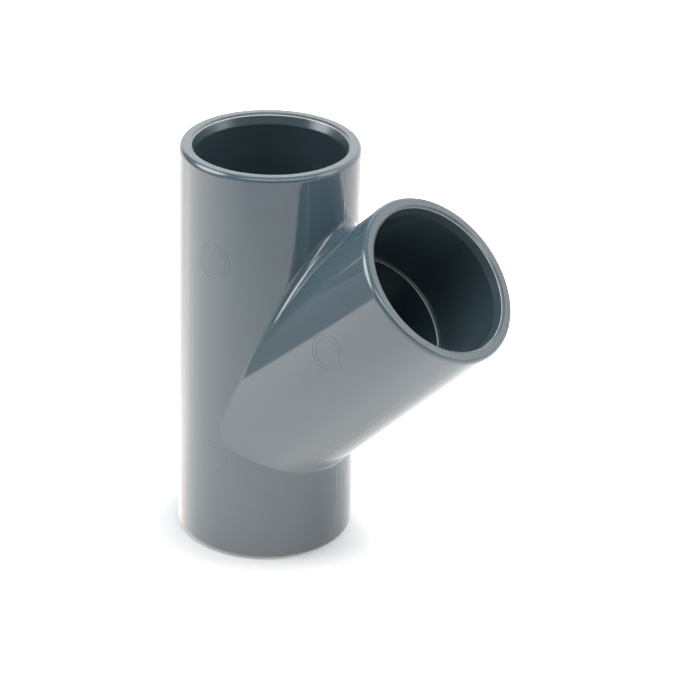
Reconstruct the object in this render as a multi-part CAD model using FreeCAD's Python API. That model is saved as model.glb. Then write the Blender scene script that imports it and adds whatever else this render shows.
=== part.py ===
# Lateral wye in solvent-cement PVC-U, d 63: a straight run with one branch at 45 degrees.
import FreeCAD, Part
import math
import os

os.makedirs("parts", exist_ok=True)

# Frame: origin on the run's axis in the plane of its lower mouth, +Z up the run,
# the branch leans from +Z toward +X, and XZ is the mould's parting plane.

# Sockets, mm
SOCKET_D = 63.0              # the pipe's outside diameter
SOCKET_DEPTH = 40.5          # mouth plane to stop
LEAD_IN_DEPTH = 4.1          # mouth plane to the end of the lead-in cone
LEAD_IN_FLARE = 1.7          # how far the cone opens past the bore, on the radius
LIP_CHAMFER = 0.35
STOP_WIDTH = 1.5             # the shoulder that stops the pipe
STOP_CHAMFER = 0.4           # on the stop's inner edge

# Body, mm
WALL = 6.5                   # round the run's sockets
BRANCH_WALL_CUT = 0.2        # the branch's wall is this much thinner, so that the two
                             # skins never run tangent
BRANCH_ANGLE = 45.0          # degrees between the branch's axis and the run's
JUNCTION_FILLET = 3.5
LOWER_LAND = 2.07            # ring of waterway between the lower stop and the branch
CROTCH_WALL = 3.09           # from a stop's bore to the line that halves the angle
MOUTH_ROUND_RADIAL = 1.8     # a mouth's outer edge follows a quarter ellipse, short
MOUTH_ROUND_AXIAL = 2.8      # across the wall and longer down the skin
MOUTH_ROUND_BANDS = 3        # conical bands that follow it, within 0.1 mm

# Bare moulded roundels on the -Y side, mm
ROUNDEL_D = 16.0
ROUNDEL_INNER_D = 12.4
ROUNDEL_LINE = 0.45          # width of each raised line
ROUNDEL_HEIGHT = 0.18        # how far a line stands proud
LOWER_ROUNDEL_IN = 45.0      # centre's distance in from its own mouth
UPPER_ROUNDEL_IN = 41.0
BRANCH_ROUNDEL_IN = 40.0

# Derived
LEAN = math.radians(BRANCH_ANGLE)
SOCKET_R = SOCKET_D / 2
LEAD_IN_R = SOCKET_R + LEAD_IN_FLARE
WATERWAY_R = SOCKET_R - STOP_WIDTH
RUN_R = SOCKET_R + WALL
BRANCH_R = RUN_R - BRANCH_WALL_CUT
LOWER_STOP = WATERWAY_R * math.tan(LEAN / 2) + LOWER_LAND       # from where the axes meet
UPPER_STOP = (SOCKET_R + CROTCH_WALL) / math.tan(LEAN / 2)      # and the branch's stop too
CENTRE_Z = LOWER_STOP + SOCKET_DEPTH
RUN_LENGTH = CENTRE_Z + UPPER_STOP + SOCKET_DEPTH
BRANCH_LENGTH = UPPER_STOP + SOCKET_DEPTH
OVERRUN = 5.0                # how far a cutter reaches past a mouth

UP = FreeCAD.Vector(0, 0, 1)
DOWN = FreeCAD.Vector(0, 0, -1)
FRONT = FreeCAD.Vector(0, -1, 0)
CENTRE = FreeCAD.Vector(0, 0, CENTRE_Z)
BRANCH_WAY = FreeCAD.Vector(math.sin(LEAN), 0, math.cos(LEAN))

LOWER_MOUTH = FreeCAD.Vector(0, 0, 0)
UPPER_MOUTH = FreeCAD.Vector(0, 0, RUN_LENGTH)
BRANCH_MOUTH = CENTRE + BRANCH_WAY * BRANCH_LENGTH

# Each mouth with the way it opens
MOUTHS = (
    (LOWER_MOUTH, DOWN),
    (UPPER_MOUTH, UP),
    (BRANCH_MOUTH, BRANCH_WAY),
)


def edge_profile(radius, end_z, way):
    """The outer edge's points in XZ at end_z, where way is UP or DOWN, end face to skin."""
    points = []
    for band in range(MOUTH_ROUND_BANDS + 1):
        turn = math.pi / 2 * band / MOUTH_ROUND_BANDS
        across = radius - MOUTH_ROUND_RADIAL * (1 - math.sin(turn))
        down = MOUTH_ROUND_AXIAL * (1 - math.cos(turn))
        points.append(FreeCAD.Vector(across, 0, end_z) - way * down)
    return points


def rounded_bar(radius, length, both_ends):
    """A round bar up +Z with its upper outer edge eased, and its lower one if both_ends."""
    foot = FreeCAD.Vector(0, 0, 0)
    head = FreeCAD.Vector(0, 0, length)
    lower = edge_profile(radius, 0, DOWN) if both_ends else [FreeCAD.Vector(radius, 0, 0)]
    upper = edge_profile(radius, length, UP)
    outline = [foot] + lower + upper[::-1] + [head, foot]
    return Part.Face(Part.makePolygon(outline)).revolve(foot, UP, 360)


def outer_skin():
    """Run and branch as one solid bar, blended where they meet."""
    run = rounded_bar(RUN_R, RUN_LENGTH, True)
    branch = rounded_bar(BRANCH_R, BRANCH_LENGTH, False)
    branch.Placement = FreeCAD.Placement(CENTRE, FreeCAD.Rotation(UP, BRANCH_WAY))
    bar = run.fuse(branch).removeSplitter()
    seam = [edge for edge in bar.Edges if is_junction(edge)]
    return bar.makeFillet(JUNCTION_FILLET, seam)


def is_junction(edge):
    """True for an edge that lies on both outside cylinders."""
    middle = edge.valueAt((edge.FirstParameter + edge.LastParameter) / 2)
    quarter = edge.valueAt(edge.FirstParameter * 0.75 + edge.LastParameter * 0.25)
    return all(on_run(p) and on_branch(p) for p in (middle, quarter))


def on_run(point):
    return abs(math.hypot(point.x, point.y) - RUN_R) < 0.01


def on_branch(point):
    from_centre = point - CENTRE
    along = from_centre.dot(BRANCH_WAY)
    return along > 0 and abs((from_centre - BRANCH_WAY * along).Length - BRANCH_R) < 0.01


def socket_void():
    """The socket's void with its mouth in Z 0, from past the mouth down to the stop."""
    sides = [
        (LEAD_IN_R + LIP_CHAMFER, OVERRUN),
        (LEAD_IN_R + LIP_CHAMFER, 0),
        (LEAD_IN_R, -LIP_CHAMFER),
        (SOCKET_R, -LEAD_IN_DEPTH),
        (SOCKET_R, -SOCKET_DEPTH),
        (WATERWAY_R + STOP_CHAMFER, -SOCKET_DEPTH),
        (WATERWAY_R, -SOCKET_DEPTH - STOP_CHAMFER),
    ]
    top = FreeCAD.Vector(0, 0, OVERRUN)
    foot = FreeCAD.Vector(0, 0, -SOCKET_DEPTH - STOP_CHAMFER)
    outline = [top] + [FreeCAD.Vector(across, 0, z) for across, z in sides] + [foot, top]
    return Part.Face(Part.makePolygon(outline)).revolve(top, UP, 360)


def waterway_cutters():
    run = Part.makeCylinder(WATERWAY_R, RUN_LENGTH, LOWER_MOUTH, UP)
    branch = Part.makeCylinder(WATERWAY_R, BRANCH_LENGTH, CENTRE, BRANCH_WAY)
    return run, branch


def hollow_out(bar):
    for cutter in waterway_cutters():
        bar = bar.cut(cutter)
    for mouth, way in MOUTHS:
        void = socket_void()
        void.Placement = FreeCAD.Placement(mouth, FreeCAD.Rotation(UP, way))
        bar = bar.cut(void)
    return bar


def raised_line(centre, outside_d, skin):
    """One circular line seen from -Y, following the skin it stands on."""
    start = FreeCAD.Vector(centre.x, -RUN_R / 2, centre.z)
    outer = Part.makeCylinder(outside_d / 2, RUN_R, start, FRONT)
    inner = Part.makeCylinder(outside_d / 2 - ROUNDEL_LINE, RUN_R, start, FRONT)
    return outer.cut(inner).common(skin)


def roundel(centre, base, way, radius):
    """Two concentric raised lines on a cylinder of this radius through base along way."""
    length = RUN_LENGTH + BRANCH_LENGTH
    skin = Part.makeCylinder(radius + ROUNDEL_HEIGHT, length, base - way * RUN_LENGTH, way)
    core = Part.makeCylinder(radius - ROUNDEL_HEIGHT, length, base - way * RUN_LENGTH, way)
    shell = skin.cut(core)
    return [raised_line(centre, d, shell) for d in (ROUNDEL_D, ROUNDEL_INNER_D)]


def roundels():
    lower = LOWER_MOUTH + UP * LOWER_ROUNDEL_IN
    upper = UPPER_MOUTH - UP * UPPER_ROUNDEL_IN
    branch = BRANCH_MOUTH - BRANCH_WAY * BRANCH_ROUNDEL_IN
    lines = roundel(lower, CENTRE, UP, RUN_R)
    lines += roundel(upper, CENTRE, UP, RUN_R)
    lines += roundel(branch, CENTRE, BRANCH_WAY, BRANCH_R)
    return lines


def wye():
    return hollow_out(outer_skin()).fuse(roundels())


shape = wye()
if len(shape.Solids) != 1 or not shape.isValid():
    raise RuntimeError("the wye must be one valid solid")
shape = shape.Solids[0]
shape.exportStep("parts/wye_body.step")
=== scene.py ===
"""A lateral wye for solvent-cement pressure pipe, moulded in PVC-U, and the white studio it stands in."""

import math

import bpy
from bpy.props import FloatProperty, FloatVectorProperty, IntProperty, PointerProperty
from bpy.types import Operator, Panel, PropertyGroup
from mathutils import Matrix, Vector


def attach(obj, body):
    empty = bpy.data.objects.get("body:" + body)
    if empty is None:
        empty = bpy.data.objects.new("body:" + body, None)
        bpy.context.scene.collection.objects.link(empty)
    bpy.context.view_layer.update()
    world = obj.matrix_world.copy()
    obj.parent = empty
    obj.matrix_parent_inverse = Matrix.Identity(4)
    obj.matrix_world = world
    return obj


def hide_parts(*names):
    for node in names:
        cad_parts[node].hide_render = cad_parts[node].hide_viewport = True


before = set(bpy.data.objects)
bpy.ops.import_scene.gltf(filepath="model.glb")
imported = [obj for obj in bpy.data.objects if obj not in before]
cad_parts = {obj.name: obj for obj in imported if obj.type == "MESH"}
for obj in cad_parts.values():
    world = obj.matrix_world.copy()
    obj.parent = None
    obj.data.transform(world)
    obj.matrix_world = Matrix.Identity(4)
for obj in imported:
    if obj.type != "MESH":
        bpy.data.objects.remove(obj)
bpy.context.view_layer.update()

bl_info = {
    "name": "Lateral wye",
    "version": (1, 0, 0),
    "blender": (4, 5, 0),
    "location": "View3D > Sidebar > Wye",
    "description": "Builds a moulded PVC-U lateral wye and its studio",
    "category": "Object",
}

MM = 0.001


def linear(hex_colour):
    """An sRGB hex colour such as #5b6a72 as linear red, green, blue and alpha."""
    channels = [int(hex_colour[i:i + 2], 16) / 255 for i in (1, 3, 5)]
    return [c / 12.92 if c <= 0.04045 else ((c + 0.055) / 1.055) ** 2.4 for c in channels] + [1.0]


def length(name, description, millimetres):
    """A length on the panel, given in millimetres and kept in metres."""
    return FloatProperty(
        name=name, description=description, default=millimetres * MM,
        min=0.0, precision=5, unit="LENGTH",
    )


class WyeSizes(PropertyGroup):
    socket_d: length("Socket", "Diameter of the sockets, which is the pipe's outside", 63.0)
    socket_depth: length("Socket depth", "From a mouth to its stop", 40.5)
    lead_in_depth: length("Lead-in depth", "From a mouth to the end of its lead-in cone", 4.6)
    lead_in_flare: length("Lead-in flare", "How far the cone opens past the bore", 1.2)
    lip_across: length("Lip across", "The eased lip's width across the wall", 1.2)
    lip_along: length("Lip along", "The eased lip's depth", 0.7)
    lip_round: length("Lip round", "Radius on each edge of the eased lip", 0.1)
    # Width of the lip's sloped strip, which is painted pale as a highlight line
    painted_highlight_width: length("Flash", "Width of the pale line left where core meets plate", 0.4)
    cone_round: length("Cone round", "Radius where the cone runs into the bore", 2.0)
    stop_width: length("Stop width", "The shoulder that stops the pipe", 1.5)
    stop_root: length("Stop root", "Radius in the stop's corner", 0.3)
    stop_round: length("Stop round", "Radius on the stop's inner edge", 0.4)
    wall: length("Wall", "Wall round the run's sockets", 6.5)
    branch_wall_cut: length("Branch wall cut", "How much thinner the branch's wall is", 0.2)
    junction_fillet: length("Junction fillet", "Radius between the run and the branch", 3.5)
    waterway_round: length("Waterway round", "Radius where the waterways meet", 0.6)
    lower_land: length("Lower land", "Waterway left between the lower stop and the branch", 2.07)
    # 0.145 mm less than in the solid, so that the upper mouths meet the photograph's outline
    crotch_wall: length("Crotch wall", "From a stop's bore to the line that halves the angle", 2.945)
    mouth_round_radial: length("Mouth round across", "The mouth's outer edge, across the wall", 1.6)
    mouth_round_axial: length("Mouth round along", "The mouth's outer edge, along the skin", 2.6)
    branch_angle: FloatProperty(
        name="Branch angle", description="Between the branch's axis and the run's",
        default=math.radians(45), subtype="ANGLE",
    )
    half_turn_steps: IntProperty(
        name="Steps in half a turn", description="Faces round each pipe's front half",
        default=144, min=12,
    )


class RoundelSizes(PropertyGroup):
    outer_d: length("Outer line", "Diameter of the outer line", 16.0)
    inner_d: length("Inner line", "Diameter of the inner line", 12.4)
    line_width: length("Line width", "Width of each raised line", 0.4)
    lower_height: length("Lower lines", "How far the lower roundel's lines stand proud", 0.052)
    upper_height: length("Upper lines", "How far the upper roundel's lines stand proud", 0.091)
    branch_height: length("Branch lines", "How far the branch's lines stand proud", 0.13)
    lower_in: length("Lower roundel", "Its centre, in from the lower mouth", 45.0)
    upper_in: length("Upper roundel", "Its centre, in from the upper mouth", 41.0)
    branch_in: length("Branch roundel", "Its centre, in from the branch's mouth", 40.0)


class PlasticFinish(PropertyGroup):
    colour: FloatVectorProperty(
        name="Plastic", description="Colour of the PVC-U right through",
        default=linear("#5f7580"), size=4, subtype="COLOR", min=0, max=1,
    )
    gloss_roughness: FloatProperty(
        name="Roughness", description="Roughness of the polished cavity's skin", default=0.12,
        min=0, max=1, subtype="FACTOR",
    )
    parting_line: length("Parting line", "Half the width of the line the mould's halves leave", 0.3)
    parting_offset: length("Parting offset", "From the wye's middle plane to the line", 0.7)
    # The sockets and waterway are painted darker than the skin, as painted shade in the hollows
    painted_shade_core_colour: FloatVectorProperty(
        name="Core side", description="Colour inside the sockets, darker than the polished skin",
        default=linear("#485c65"), size=4, subtype="COLOR", min=0, max=1,
    )
    # End faces painted greyer and paler than the skin, as a painted reflection of the white backdrop
    painted_reflection_face_colour: FloatVectorProperty(
        name="End faces", description="Colour of the end faces, greyer than the polished skin",
        default=linear("#69757a"), size=4, subtype="COLOR", min=0, max=1,
    )
    # A painted highlight: the pale colour on each lip's sloped strip and round each stop's inner edge
    painted_highlight_colour: FloatVectorProperty(
        name="Flash line", description="Colour of the stretched, paler flash at lips and stops",
        default=linear("#e2e6e8"), size=4, subtype="COLOR", min=0, max=1,
    )


class StudioSettings(PropertyGroup):
    camera_azimuth: FloatProperty(
        name="Azimuth", description="Camera's turn from the roundels' side toward the branch",
        default=math.radians(35.53), subtype="ANGLE",
    )
    camera_elevation: FloatProperty(
        name="Elevation", description="Camera's height above the level",
        default=math.radians(26.45), subtype="ANGLE",
    )
    camera_roll: FloatProperty(
        name="Roll", description="Camera's turn about its own line of sight",
        default=math.radians(1.647), subtype="ANGLE",
    )
    camera_distance: length("Distance", "From the camera to the point it aims at", 1279.5)
    camera_lens: FloatProperty(
        name="Lens", description="Focal length on a sensor 36 mm wide", default=154.54, unit="CAMERA",
    )
    camera_aim: FloatVectorProperty(
        name="Aim", description="The point the camera aims at",
        default=(16.26 * MM, 32.01 * MM, 78.96 * MM), size=3, subtype="TRANSLATION",
    )
    white: FloatVectorProperty(
        name="White", description="Colour of the floor and the backdrop",
        default=linear("#ffffff"), size=4, subtype="COLOR", min=0, max=1,
    )
    # The colour of the painted glow on the floor, which only gloss sees
    painted_glow_colour: FloatVectorProperty(
        name="Sheet", description="Colour of the lit sheet that the gloss shows",
        default=linear("#fff1e8"), size=4, subtype="COLOR", min=0, max=1,
    )


class Wye:
    """The wye's derived sizes and directions, in metres."""

    def __init__(self, sizes):
        lean = sizes.branch_angle
        self.sizes = sizes
        self.socket_r = sizes.socket_d / 2
        self.lead_in_r = self.socket_r + sizes.lead_in_flare
        self.waterway_r = self.socket_r - sizes.stop_width
        self.run_r = self.socket_r + sizes.wall
        self.branch_r = self.run_r - sizes.branch_wall_cut
        lower_stop = self.waterway_r * math.tan(lean / 2) + sizes.lower_land
        self.upper_stop = (self.socket_r + sizes.crotch_wall) / math.tan(lean / 2)
        centre_z = lower_stop + sizes.socket_depth
        self.run_length = centre_z + self.upper_stop + sizes.socket_depth
        self.branch_length = self.upper_stop + sizes.socket_depth
        self.centre = Vector((0, 0, centre_z))
        self.up = Vector((0, 0, 1))
        self.way = Vector((math.sin(lean), 0, math.cos(lean)))
        self.underside = Vector((math.cos(lean), 0, -math.sin(lean)))

    def run_spoke(self, angle):
        """Square out from the run's axis, angle measured from the branch's side."""
        return Vector((math.cos(angle), math.sin(angle), 0))

    def branch_spoke(self, turn):
        """Square out from the branch's axis, turn measured from its underside."""
        return self.underside * math.cos(turn) + Vector((0, 1, 0)) * math.sin(turn)

    def ball_over_junction(self, run_r, branch_r, ball, turn):
        """A ball that touches both pipes: its centre, and from which way each pipe meets it."""
        across = branch_r + ball
        y = across * math.sin(turn)
        x = math.sqrt(max(0.0, (run_r + ball) ** 2 - y * y))
        spoke = self.branch_spoke(turn)
        along = (x - across * spoke.x) / self.way.x
        centre = self.centre + self.way * along + spoke * across
        return centre, Vector((x, y, 0)).normalized(), spoke


class Shell:
    """One closed mesh in the making: grids that share their edges, each point with its exact normal."""

    def __init__(self):
        self.points = []
        self.normals = []
        self.radii = []
        self.faces = []
        self.materials = []
        self.places = {}

    def add_point(self, point, normal, radius=0.0):
        place = tuple(round(c * 1e8) for c in point)
        if place not in self.places:
            self.places[place] = len(self.points)
            self.points.append(point)
            self.normals.append(normal.normalized())
            self.radii.append(radius)
        return self.places[place]

    def add_grid(self, rows, material):
        """Faces between rows of (point, normal, ...), each turned the way its normals point."""
        rows = [[self.add_point(*cell) for cell in row] for row in rows]
        for low, high in zip(rows, rows[1:]):
            for i in range(len(low) - 1):
                corners = list(dict.fromkeys((low[i], low[i + 1], high[i + 1], high[i])))
                if len(corners) > 2:
                    self.add_face(corners, material)

    def add_face(self, corners, material):
        a, b, c = (self.points[i] for i in corners[:3])
        facing = (b - a).cross(c - a)
        if len(corners) == 4:
            facing = (c - a).cross(self.points[corners[3]] - b)
        if facing.dot(self.normals[corners[0]] + self.normals[corners[2]]) < 0:
            corners = corners[::-1]
        self.faces.append(corners)
        self.materials.append(material)

    def to_mesh(self, name):
        mesh = bpy.data.meshes.new(name)
        mesh.from_pydata(self.points, [], self.faces)
        mesh.polygons.foreach_set("material_index", self.materials)
        mesh.polygons.foreach_set("use_smooth", [True] * len(self.faces))
        radius = mesh.attributes.new("radius", "FLOAT", "POINT")
        radius.data.foreach_set("value", self.radii)
        mesh.normals_split_custom_set_from_vertices(self.normals)
        return mesh


# The body's materials, in the order that they are added
# The last material is a painted highlight: pale lines at the lips and round the stops
OUTSIDE, END_FACE, INSIDE, PAINTED_HIGHLIGHT = range(4)

# Points round each kind of curve
CORNER_STEPS = 7
EDGE_STEPS = 12
BLEND_STEPS = 10


def turns(wye):
    """Angles once round the branch, from one side by the underside to the other and back over."""
    steps = wye.sizes.half_turn_steps
    return [math.pi * (i / steps - 0.5) for i in range(2 * steps + 1)]


def run_angles(wye, run_r, branch_r, ball):
    """Angles once round the run: over the junction one for each turn, then evenly behind it."""
    steps = wye.sizes.half_turn_steps
    front = []
    for turn in turns(wye)[:steps + 1]:
        _, from_run, _ = wye.ball_over_junction(run_r, branch_r, ball, turn)
        front.append(math.atan2(from_run.y, from_run.x))
    gap = 2 * math.pi - 2 * front[-1]
    back = [front[-1] + gap * i / steps for i in range(1, steps + 1)]
    return front + back


def add_pipes(shell, wye, run_r, branch_r, ball, ends, ring_angles, material, outward):
    """The run's wall with its hole, the blend round the hole, and the branch's wall.

    ends are the run wall's lower and upper height and how far the branch's wall reaches.
    """
    low_z, high_z, reach = ends
    steps = wye.sizes.half_turn_steps
    angles = run_angles(wye, run_r, branch_r, ball)

    def on_run(angle, z):
        spoke = wye.run_spoke(angle)
        return spoke * run_r + wye.up * z, spoke * outward

    def on_blend(turn, share):
        centre, from_run, from_branch = wye.ball_over_junction(run_r, branch_r, ball, turn)
        if (from_run - from_branch).length > 1e-6:
            from_run = from_run.slerp(from_branch, share)
        return centre - from_run * ball, from_run * outward

    under = turns(wye)[:steps + 1]
    over = [math.pi - turn for turn in under]
    lower_ring = [on_run(angle, low_z) for angle in ring_angles]
    upper_ring = [on_run(angle, high_z) for angle in ring_angles]
    shell.add_grid([lower_ring[:steps + 1], [on_blend(turn, 0) for turn in under]], material)
    shell.add_grid([[on_blend(turn, 0) for turn in over], upper_ring[:steps + 1]], material)
    side_z = on_blend(under[-1], 0)[0].z
    middle = [on_run(angle, side_z) for angle in angles]
    shell.add_grid([ring[steps:] for ring in (lower_ring, middle, upper_ring)], material)

    shares = [k / BLEND_STEPS for k in range(BLEND_STEPS + 1)]
    blend = [[on_blend(turn, share) for turn in turns(wye)] for share in shares]
    end = wye.centre + wye.way * reach
    spokes = [wye.branch_spoke(turn) for turn in turns(wye)]
    branch_ring = [(end + spoke * branch_r, spoke * outward) for spoke in spokes]
    shell.add_grid(blend + [branch_ring], material)


def edge_path(s, skin_r):
    """A mouth's outer edge, skin to end face: (radius, out, normal across, normal out)."""
    path = []
    across, along = s.mouth_round_radial, s.mouth_round_axial
    for i in range(EDGE_STEPS + 1):
        turn = math.pi / 2 * i / EDGE_STEPS
        radius = skin_r - across * (1 - math.cos(turn))
        out = -along * (1 - math.sin(turn))
        path.append((radius, out, math.cos(turn) / across, math.sin(turn) / along))
    return path


def rounded_path(corners):
    """Straight runs through (radius, out, rounding) corners, each corner a small arc."""
    path = []
    for before, corner, after in zip(corners, corners[1:], corners[2:]):
        here = Vector(corner[:2])
        way_in = (here - Vector(before[:2])).normalized()
        way_out = (Vector(after[:2]) - here).normalized()
        bend = math.atan2(way_in.x * way_out.y - way_in.y * way_out.x, way_in.dot(way_out))
        start = here - way_in * corner[2] * math.tan(abs(bend) / 2)
        side = math.copysign(corner[2], bend)
        normal = Vector((way_in.y, -way_in.x))
        middle = start - normal * side
        for i in range(CORNER_STEPS):
            turned = normal.copy()
            turned.rotate(Matrix.Rotation(bend * i / (CORNER_STEPS - 1), 2))
            path.append((*(middle + turned * side), *turned))
    return path


def mouth_path(wye, outer_r):
    """Half a mouth's section, from the skin round the end face and down the socket."""
    s = wye.sizes
    cone_r = wye.lead_in_r
    # The lip's strip, painted pale as a highlight line, slopes inwards by 1 in 2, so its width is shared
    # out over both ways.
    painted_highlight_across, painted_highlight_along = s.painted_highlight_width * 0.45, s.painted_highlight_width * 0.9
    foot = (wye.waterway_r, -s.socket_depth - s.stop_round)
    corners = [
        (outer_r - s.mouth_round_radial, 0, 0),
        (cone_r + s.lip_across, 0, s.lip_round),
        (cone_r + painted_highlight_across, -s.lip_along, s.lip_round),
        (cone_r, -s.lip_along - painted_highlight_along, s.lip_round),
        (wye.socket_r, -s.lead_in_depth, s.cone_round),
        (wye.socket_r, -s.socket_depth, s.stop_root),
        (wye.waterway_r, -s.socket_depth, s.stop_round),
        foot + (0,),
    ]
    return edge_path(s, outer_r), rounded_path(corners)


def add_mouth(shell, wye, mouth, way, spokes, outer_r):
    """One mouth: its outer edge, end face, lip, painted highlight lines, cone, bore and stop.

    The path's corners, in order, are the lip's two edges, the foot of the lip's strip that is
    painted as a highlight line, the cone's end, the stop's root and the stop's inner edge.
    """
    edge, socket = mouth_path(wye, outer_r)
    lip_end = 2 * CORNER_STEPS
    stop_edge = 5 * CORNER_STEPS

    def ring(step):
        radius, out, across, along = step
        return [
            (mouth + way * out + spoke * radius, spoke * across + way * along, radius)
            for spoke in spokes
        ]

    shell.add_grid([ring(step) for step in edge], OUTSIDE)
    shell.add_grid([ring(edge[-1])] + [ring(step) for step in socket[:lip_end]], END_FACE)
    # Painted highlight: the lip's sloped strip in the pale colour
    shell.add_grid([ring(step) for step in socket[lip_end - 1:lip_end + 1]], PAINTED_HIGHLIGHT)
    shell.add_grid([ring(step) for step in socket[lip_end:stop_edge + 1]], INSIDE)
    # Painted highlight: the stop's rounded inner edge in the pale colour
    shell.add_grid([ring(step) for step in socket[stop_edge:]], PAINTED_HIGHLIGHT)


def build_shell(wye):
    s = wye.sizes
    shell = Shell()
    angles = run_angles(wye, wye.run_r, wye.branch_r, s.junction_fillet)
    edge = s.mouth_round_axial
    skin_ends = (edge, wye.run_length - edge, wye.branch_length - edge)
    add_pipes(shell, wye, wye.run_r, wye.branch_r, s.junction_fillet, skin_ends, angles,
              OUTSIDE, 1)
    foot = s.socket_depth + s.stop_round
    way_ends = (foot, wye.run_length - foot, wye.branch_length - foot)
    add_pipes(shell, wye, wye.waterway_r, wye.waterway_r, s.waterway_round, way_ends, angles,
              INSIDE, -1)
    run_spokes = [wye.run_spoke(angle) for angle in angles]
    branch_spokes = [wye.branch_spoke(turn) for turn in turns(wye)]
    add_mouth(shell, wye, Vector((0, 0, 0)), -wye.up, run_spokes, wye.run_r)
    add_mouth(shell, wye, wye.up * wye.run_length, wye.up, run_spokes, wye.run_r)
    branch_mouth = wye.centre + wye.way * wye.branch_length
    add_mouth(shell, wye, branch_mouth, wye.way, branch_spokes, wye.branch_r)
    return shell


def add_node(tree, kind, inputs=None, **settings):
    """Adds a node, sets it up, and fills its inputs with values, sockets or nodes' results."""
    node = tree.nodes.new(kind)
    for name, value in settings.items():
        setattr(node, name, value)
    for key, value in (inputs or {}).items():
        if isinstance(value, bpy.types.Node):
            value = value.outputs[0]
        if isinstance(value, bpy.types.NodeSocket):
            tree.links.new(value, node.inputs[key])
        else:
            node.inputs[key].default_value = value
    return node


def new_material(name):
    """A material with nothing in it but its output, and its node tree."""
    material = bpy.data.materials.new(name)
    material.use_nodes = True
    material.node_tree.nodes.clear()
    return material, material.node_tree


def add_plastic(tree, finish, normal=None, **own):
    """The PVC-U's own shader: a dark pigmented body under a glassy moulded skin."""
    inputs = {
        "Base Color": finish.colour,
        "Roughness": finish.gloss_roughness,
        "IOR": 1.53,
        "Coat Weight": 1.0,
        "Coat Roughness": 0.04,
        "Coat IOR": 1.5,
    }
    inputs.update(own)
    if normal is not None:
        inputs["Normal"] = normal
        inputs["Coat Normal"] = normal
    shader = add_node(tree, "ShaderNodeBsdfPrincipled", inputs)
    add_node(tree, "ShaderNodeOutputMaterial", {"Surface": shader})


def ripple(tree, place, strength):
    """The slow unevenness that a thick wall takes as it cools, about 22 mm across."""
    waves = add_node(tree, "ShaderNodeTexNoise", {"Vector": place, "Scale": 45.0, "Detail": 1.0})
    return add_node(tree, "ShaderNodeBump", {
        "Height": waves, "Strength": strength, "Distance": 1.0 * MM,
    })


def cavity_moulded_pvc(finish):
    """PVC-U against the polished cavity: high gloss, a slow ripple and the parting line."""
    material, tree = new_material("PVC-U_cavity_moulded")
    place = add_node(tree, "ShaderNodeTexCoord").outputs["Object"]
    side = add_node(tree, "ShaderNodeSeparateXYZ", {0: place}).outputs["Y"]
    past_line = add_node(tree, "ShaderNodeMath", {
        0: side, 1: finish.parting_offset,
    }, operation="SUBTRACT")
    from_line = add_node(tree, "ShaderNodeMath", {0: past_line}, operation="ABSOLUTE")
    ridge = add_node(tree, "ShaderNodeMapRange", {
        "Value": from_line, "From Max": finish.parting_line, "To Min": 1.0, "To Max": 0.0,
    }, interpolation_type="SMOOTHSTEP")
    bump = add_node(tree, "ShaderNodeBump", {
        "Height": ridge, "Strength": 1.0, "Distance": 0.2 * MM, "Normal": ripple(tree, place, 0.03),
    })
    add_plastic(tree, finish, bump)
    return material


def faced_pvc_painted_reflection(finish):
    """PVC-U against a turned mould plate: mottled, with fine rings round each end face, and greyer as a
    painted reflection of the white backdrop.
    """
    material, tree = new_material("PVC-U_turned_plate_moulded_painted_reflection")
    radius = add_node(tree, "ShaderNodeAttribute", attribute_name="radius").outputs["Fac"]
    # A turned plate's feed marks are 0.1 mm apart; drawn at about 0.6 mm, so that they show.
    marks = add_node(tree, "ShaderNodeTexNoise", {"W": radius, "Scale": 1700.0, "Detail": 1.0},
                     noise_dimensions="1D")
    place = add_node(tree, "ShaderNodeTexCoord").outputs["Object"]
    # The plate's own grain is about 0.1 mm; drawn at 0.8 mm, so that it shows.
    grain = add_node(tree, "ShaderNodeTexNoise", {"Vector": place, "Scale": 1300.0, "Detail": 2.0})
    height = add_node(tree, "ShaderNodeMath", {0: marks, 1: grain}, operation="ADD")
    bump = add_node(tree, "ShaderNodeBump", {
        "Height": height, "Strength": 1.0, "Distance": 0.15 * MM,
    })
    mottle = add_node(tree, "ShaderNodeMapRange", {
        "Value": height, "From Min": 0.7, "From Max": 1.3, "To Min": 0.8, "To Max": 1.2,
    })
    # Painted reflection: the end faces' greyer colour, mottled by the plate's marks and grain
    colour = add_node(tree, "ShaderNodeVectorMath", {
        0: finish.painted_reflection_face_colour[:3], 1: mottle,
    }, operation="MULTIPLY")
    add_plastic(tree, finish, bump, **{"Base Color": colour, "Coat Roughness": 0.12})
    return material


def core_moulded_pvc_painted_shade(finish):
    """PVC-U shrunk on a core and drawn off it: the sockets and waterway, duller, and darker as painted
    shade in the hollows.
    """
    material, tree = new_material("PVC-U_core_moulded_painted_shade")
    place = add_node(tree, "ShaderNodeTexCoord").outputs["Object"]
    add_plastic(tree, finish, ripple(tree, place, 0.06), **{
        "Base Color": finish.painted_shade_core_colour, "Roughness": 0.3, "Coat Roughness": 0.12,
    })
    return material


def painted_highlight_pvc(finish):
    """Painted highlight: PVC-U coloured pale and dull on each lip's sloped strip and round each stop."""
    material, tree = new_material("PVC-U_painted_highlight_line")
    add_plastic(tree, finish, **{"Base Color": finish.painted_highlight_colour, "Coat Roughness": 0.3})
    return material


def link(name, mesh):
    piece = bpy.data.objects.new(name, mesh)
    bpy.context.scene.collection.objects.link(piece)
    return piece


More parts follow.
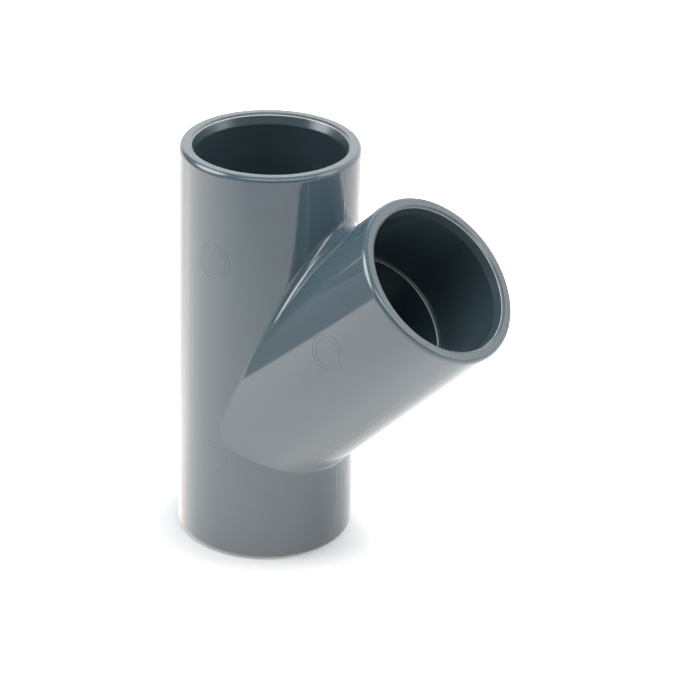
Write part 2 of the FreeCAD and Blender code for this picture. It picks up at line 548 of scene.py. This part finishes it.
class WYE_OT_body(Operator):
    """Build the moulded body: skin, blend, mouths, sockets and waterway in one shell"""

    bl_idname = "wye.build_body"
    bl_label = "Moulded body"

    def execute(self, context):
        scene = context.scene
        wye = Wye(scene.wye_sizes)
        mesh = build_shell(wye).to_mesh("wye_body_moulded")
        mesh.materials.append(cavity_moulded_pvc(scene.wye_finish))
        mesh.materials.append(faced_pvc_painted_reflection(scene.wye_finish))
        mesh.materials.append(core_moulded_pvc_painted_shade(scene.wye_finish))
        mesh.materials.append(painted_highlight_pvc(scene.wye_finish))
        body = link("wye_body_moulded", mesh)
        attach(body, "root")
        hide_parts("wye_body")
        return {"FINISHED"}


def roundel_tree():
    """Two concentric raised lines, seen from -Y, on a skin round the Z axis."""
    tree = bpy.data.node_groups.new("roundel", "GeometryNodeTree")
    for name in ("Outer diameter", "Inner diameter", "Line width", "Line height", "Skin radius"):
        tree.interface.new_socket(name, in_out="INPUT", socket_type="NodeSocketFloat")
    tree.interface.new_socket("Material", in_out="INPUT", socket_type="NodeSocketMaterial")
    tree.interface.new_socket("Geometry", in_out="OUTPUT", socket_type="NodeSocketGeometry")
    given = add_node(tree, "NodeGroupInput").outputs
    both = add_node(tree, "GeometryNodeJoinGeometry")
    for name in ("Outer diameter", "Inner diameter"):
        middle_d = add_node(tree, "ShaderNodeMath", {
            0: given[name], 1: given["Line width"],
        }, operation="SUBTRACT")
        radius = add_node(tree, "ShaderNodeMath", {0: middle_d, 1: 0.5}, operation="MULTIPLY")
        ring = add_node(tree, "GeometryNodeCurvePrimitiveCircle", {
            "Resolution": 128, "Radius": radius,
        })
        tree.links.new(ring.outputs["Curve"], both.inputs[0])

    # Each point moves to the skin, whose depth is the root of the radius squared less x squared.
    position = add_node(tree, "GeometryNodeInputPosition")
    flat = add_node(tree, "ShaderNodeSeparateXYZ", {0: position}).outputs
    radius_squared = add_node(tree, "ShaderNodeMath", {
        0: given["Skin radius"], 1: given["Skin radius"],
    }, operation="MULTIPLY")
    x_squared = add_node(tree, "ShaderNodeMath", {0: flat["X"], 1: flat["X"]}, operation="MULTIPLY")
    depth_squared = add_node(tree, "ShaderNodeMath", {
        0: radius_squared, 1: x_squared,
    }, operation="SUBTRACT")
    depth = add_node(tree, "ShaderNodeMath", {0: depth_squared}, operation="SQRT")
    ahead = add_node(tree, "ShaderNodeMath", {0: depth, 1: -1.0}, operation="MULTIPLY")
    on_skin = add_node(tree, "ShaderNodeCombineXYZ", {"X": flat["X"], "Y": ahead, "Z": flat["Y"]})
    wrapped = add_node(tree, "GeometryNodeSetPosition", {"Geometry": both, "Position": on_skin})

    # The line's section is half sunk, with its height turned square out from the skin.
    outward = add_node(tree, "ShaderNodeVectorMath", {
        0: position, 1: (1.0, 1.0, 0.0),
    }, operation="MULTIPLY")
    standing = add_node(tree, "GeometryNodeSetCurveNormal", {
        "Curve": wrapped, "Normal": outward,
    }, mode="FREE")
    half_width = add_node(tree, "ShaderNodeMath", {
        0: given["Line width"], 1: 0.5,
    }, operation="MULTIPLY")
    size = add_node(tree, "ShaderNodeCombineXYZ", {
        "X": given["Line height"], "Y": half_width, "Z": 1.0,
    })
    circle = add_node(tree, "GeometryNodeCurvePrimitiveCircle", {"Resolution": 12, "Radius": 1.0})
    section = add_node(tree, "GeometryNodeTransform", {"Geometry": circle, "Scale": size})
    lines = add_node(tree, "GeometryNodeCurveToMesh", {
        "Curve": standing, "Profile Curve": section,
    })
    smooth = add_node(tree, "GeometryNodeSetShadeSmooth", {"Geometry": lines})
    real = add_node(tree, "GeometryNodeRealizeInstances", {"Geometry": smooth})
    dressed = add_node(tree, "GeometryNodeSetMaterial", {
        "Geometry": real, "Material": given["Material"],
    })
    add_node(tree, "NodeGroupOutput", {"Geometry": dressed})
    return tree


def grown(name, tree, values):
    """What a Geometry Nodes tree makes from these named values, as a plain mesh."""
    seed = bpy.data.objects.new(name + "_seed", bpy.data.meshes.new(name + "_seed"))
    bpy.context.scene.collection.objects.link(seed)
    modifier = seed.modifiers.new("tree", "NODES")
    modifier.node_group = tree
    for socket in tree.interface.items_tree:
        if socket.in_out == "INPUT":
            modifier[socket.identifier] = values[socket.name]
    ready = seed.evaluated_get(bpy.context.evaluated_depsgraph_get())
    mesh = bpy.data.meshes.new_from_object(ready)
    mesh.name = name
    bpy.data.objects.remove(seed)
    return mesh


class WYE_OT_roundels(Operator):
    """Raise the three bare roundels on the front, one near each mouth"""

    bl_idname = "wye.build_roundels"
    bl_label = "Bare roundels"

    def execute(self, context):
        scene = context.scene
        s = scene.wye_roundels
        wye = Wye(scene.wye_sizes)
        material = bpy.data.materials["PVC-U_cavity_moulded"]
        tree = roundel_tree()
        run = Matrix.Identity(4)
        lean = Matrix.Rotation(scene.wye_sizes.branch_angle, 4, "Y")
        branch = Matrix.Translation(wye.centre) @ lean
        for name, pipe, radius, along, height in (
            ("lower", run, wye.run_r, s.lower_in, s.lower_height),
            ("upper", run, wye.run_r, wye.run_length - s.upper_in, s.upper_height),
            ("branch", branch, wye.branch_r, wye.branch_length - s.branch_in, s.branch_height),
        ):
            mesh = grown("roundel_" + name, tree, {
                "Outer diameter": s.outer_d, "Inner diameter": s.inner_d,
                "Line width": s.line_width, "Line height": height,
                "Skin radius": radius, "Material": material,
            })
            mesh.transform(pipe @ Matrix.Translation((0, 0, along)))
            piece = link("roundel_" + name, mesh)
            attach(piece, "root")
        return {"FINISHED"}


def studio_floor(studio):
    """A sheet of white paper: it keeps a soft contact shadow, with a painted shadow pool round the foot,
    and gloss sees a painted glow on it fade away.
    """
    material, tree = new_material("White_paper_floor")
    place = add_node(tree, "ShaderNodeTexCoord").outputs["Object"]
    path = add_node(tree, "ShaderNodeLightPath").outputs
    paper = add_node(tree, "ShaderNodeBsdfDiffuse", {"Color": studio.white})

    # White to the camera, but for a painted shadow pool round the foot, which lies a little to the front
    # left
    from_painted_shadow = add_node(tree, "ShaderNodeVectorMath", {
        0: place, 1: (-6.0 * MM, -10.0 * MM, 0.0),
    }, operation="DISTANCE").outputs["Value"]
    # Painted shadow: the camera's white falls to a fifth within 34 mm of the pool's middle and is full
    # again by 85 mm
    clear = add_node(tree, "ShaderNodeMapRange", {
        "Value": from_painted_shadow, "From Min": 34.0 * MM, "From Max": 85.0 * MM, "To Min": 0.2,
    })
    seen = add_node(tree, "ShaderNodeMath", {
        0: path["Is Camera Ray"], 1: clear,
    }, operation="MULTIPLY")
    to_camera = add_node(tree, "ShaderNodeEmission", {"Color": studio.white, "Strength": seen})

    # A painted glow that only gloss sees: bright by the fitting, dark toward the right front, and dimmer
    # behind it
    toward_right = add_node(tree, "ShaderNodeVectorMath", {
        0: place, 1: (0.707, -0.707, 0.0),
    }, operation="DOT_PRODUCT").outputs["Value"]
    fading = add_node(tree, "ShaderNodeMapRange", {
        "Value": toward_right, "From Min": 60.0 * MM, "From Max": 360.0 * MM,
        "To Min": 0.9, "To Max": 0.15,
    })
    back = add_node(tree, "ShaderNodeSeparateXYZ", {0: place}).outputs["Y"]
    in_front = add_node(tree, "ShaderNodeMapRange", {
        "Value": back, "From Min": -30.0 * MM, "From Max": 40.0 * MM,
        "To Min": 1.0, "To Max": 0.35,
    })
    painted_glow = add_node(tree, "ShaderNodeMath", {0: fading, 1: in_front}, operation="MULTIPLY")
    off_gloss = add_node(tree, "ShaderNodeMath", {
        0: path["Is Glossy Ray"], 1: path["Is Transmission Ray"],
    }, operation="ADD")
    painted_glow_strength = add_node(tree, "ShaderNodeMath", {0: off_gloss, 1: painted_glow}, operation="MULTIPLY")
    to_gloss = add_node(tree, "ShaderNodeEmission", {"Color": studio.painted_glow_colour, "Strength": painted_glow_strength})

    shown = add_node(tree, "ShaderNodeAddShader", {0: to_camera, 1: to_gloss})
    both = add_node(tree, "ShaderNodeAddShader", {0: paper, 1: shown})
    add_node(tree, "ShaderNodeOutputMaterial", {"Surface": both})
    return material


def studio_world(studio):
    """White to the camera; otherwise a white backdrop behind the wye in a dim room."""
    world = bpy.data.worlds.new("White_backdrop_in_a_dim_room")
    bpy.context.scene.world = world
    world.use_nodes = True
    tree = world.node_tree
    tree.nodes.clear()
    way = add_node(tree, "ShaderNodeTexCoord").outputs["Generated"]
    apart = add_node(tree, "ShaderNodeSeparateXYZ", {0: way}).outputs
    behind = add_node(tree, "ShaderNodeMapRange", {
        "Value": apart["Y"], "From Min": 0.1, "From Max": 0.35,
    })
    below = add_node(tree, "ShaderNodeMapRange", {
        "Value": apart["Z"], "From Min": 0.7, "From Max": 0.8, "To Min": 1.0, "To Max": 0.0,
    })
    on_backdrop = add_node(tree, "ShaderNodeMath", {0: behind, 1: below}, operation="MULTIPLY")
    room = add_node(tree, "ShaderNodeMapRange", {"Value": on_backdrop, "To Min": 0.12})
    path = add_node(tree, "ShaderNodeLightPath").outputs
    strength = add_node(tree, "ShaderNodeMix", {"Factor": path["Is Camera Ray"], "A": room, "B": 1.0})
    glow = add_node(tree, "ShaderNodeBackground", {"Color": studio.white, "Strength": strength})
    add_node(tree, "ShaderNodeOutputWorld", {"Surface": glow})


def upright(left, right, bottom, top):
    """The corners of a card that stands over a line on the floor, given by its two ends."""
    return [(*left, bottom), (*right, bottom), (*right, top), (*left, top)]


def add_card(studio, name, corners, middle, edge):
    """A card out of the picture that only reflections show, its strength falling to its edge."""
    mesh = bpy.data.meshes.new(name)
    mesh.from_pydata(corners, [], [(0, 1, 2, 3)])
    material, tree = new_material(name)
    across = add_node(tree, "ShaderNodeTexCoord").outputs["Generated"]
    from_middle = add_node(tree, "ShaderNodeVectorMath", {
        0: across, 1: (0.5, 0.5, 0.5),
    }, operation="DISTANCE").outputs["Value"]
    strength = add_node(tree, "ShaderNodeMapRange", {
        "Value": from_middle, "From Min": 0.35, "From Max": 0.65,
        "To Min": middle, "To Max": edge,
    }, interpolation_type="SMOOTHSTEP")
    card = add_node(tree, "ShaderNodeEmission", {"Color": studio.white, "Strength": strength})
    add_node(tree, "ShaderNodeOutputMaterial", {"Surface": card})
    mesh.materials.append(material)
    piece = link(name, mesh)
    piece.visible_camera = piece.visible_diffuse = piece.visible_shadow = False


def add_softbox(name, place, size, power):
    """A square area lamp aimed at the wye's middle; its face stays out of reflections."""
    lamp = bpy.data.lights.new(name, "AREA")
    lamp.shape = "SQUARE"
    lamp.size = size
    lamp.energy = power
    softbox = bpy.data.objects.new(name, lamp)
    bpy.context.scene.collection.objects.link(softbox)
    softbox.location = place
    aim = Vector((0, 0, 0.1)) - Vector(place)
    softbox.rotation_euler = aim.to_track_quat("-Z", "Y").to_euler()
    softbox.visible_glossy = False


def add_camera(studio):
    """The photograph's view, with its roll, by a long lens."""
    azimuth, elevation = studio.camera_azimuth, studio.camera_elevation
    back = Vector((
        math.sin(azimuth) * math.cos(elevation),
        -math.cos(azimuth) * math.cos(elevation),
        math.sin(elevation),
    ))
    lens = bpy.data.cameras.new("Camera")
    lens.lens = studio.camera_lens
    lens.sensor_width = 36.0
    camera = bpy.data.objects.new("Camera", lens)
    bpy.context.scene.collection.objects.link(camera)
    turn = back.to_track_quat("Z", "Y").to_matrix() @ Matrix.Rotation(studio.camera_roll, 3, "Z")
    place = Vector(studio.camera_aim) + back * studio.camera_distance
    camera.matrix_world = Matrix.Translation(place) @ turn.to_4x4()
    bpy.context.scene.camera = camera


class WYE_OT_studio(Operator):
    """Set up the white floor, the backdrop, the cards, the lamps and the camera"""

    bl_idname = "wye.build_studio"
    bl_label = "White studio"

    def execute(self, context):
        studio = context.scene.wye_studio
        half = 3.0
        # A hair under the wye's foot, so that the two faces don't share one plane
        below = -0.2 * MM
        corners = [
            (-half, -half, below), (half, -half, below), (half, half, below), (-half, half, below),
        ]
        mesh = bpy.data.meshes.new("studio_floor")
        mesh.from_pydata(corners, [], [(0, 1, 2, 3)])
        mesh.materials.append(studio_floor(studio))
        link("studio_floor", mesh)
        studio_world(studio)

        # The flag keeps the branch's upper side dark, and the front card makes the streak along
        # the blend. The overhead card lights the mouths' front edges, and the side card the right.
        flag = upright((-0.2, -0.533), (-0.75, -0.02), 0.0, 0.15)
        front = upright((-1.06, -0.25), (-0.27, -1.07), 0.19, 1.15)
        side = upright((1.195, 0.105), (0.849, 0.849), 0.2, 1.04)
        overhead = [(-0.3, -1.42, 1.0), (0.05, -2.0, 1.0), (2.16, 0.03, 1.0), (1.68, 0.54, 1.0)]
        add_card(studio, "black_flag", flag, 0.35, 0.35)
        add_card(studio, "front_card", front, 5.0, 0.2)
        add_card(studio, "overhead_card", overhead, 3.2, 0.3)
        add_card(studio, "side_card", side, 2.2, 1.0)
        add_softbox("Left_softbox", (-0.6, -0.6, 0.8), 0.6, 2)
        add_softbox("Overhead_softbox", (0.05, 0.0, 1.3), 0.9, 13)
        add_camera(studio)
        context.scene.view_settings.view_transform = "Standard"
        return {"FINISHED"}


class WYE_PT_panel(Panel):
    """Lists the wye's operators and sizes"""

    bl_idname = "WYE_PT_panel"
    bl_label = "Lateral wye"
    bl_space_type = "VIEW_3D"
    bl_region_type = "UI"
    bl_category = "Wye"

    def draw(self, context):
        layout = self.layout
        for step in STEPS:
            layout.operator(step.bl_idname)
        for group in GROUPS:
            box = layout.box()
            for name in GROUPS[group].__annotations__:
                box.prop(getattr(context.scene, group), name)


STEPS = (WYE_OT_body, WYE_OT_roundels, WYE_OT_studio)
GROUPS = {
    "wye_sizes": WyeSizes,
    "wye_roundels": RoundelSizes,
    "wye_finish": PlasticFinish,
    "wye_studio": StudioSettings,
}


def register():
    for name, group in GROUPS.items():
        bpy.utils.register_class(group)
        setattr(bpy.types.Scene, name, PointerProperty(type=group))
    for step in STEPS:
        bpy.utils.register_class(step)
    bpy.utils.register_class(WYE_PT_panel)


def unregister():
    bpy.utils.unregister_class(WYE_PT_panel)
    for step in reversed(STEPS):
        bpy.utils.unregister_class(step)
    for name, group in GROUPS.items():
        delattr(bpy.types.Scene, name)
        bpy.utils.unregister_class(group)


def main():
    register()
    bpy.ops.wye.build_body()
    bpy.ops.wye.build_roundels()
    bpy.ops.wye.build_studio()


if __name__ == "__main__":
    main()
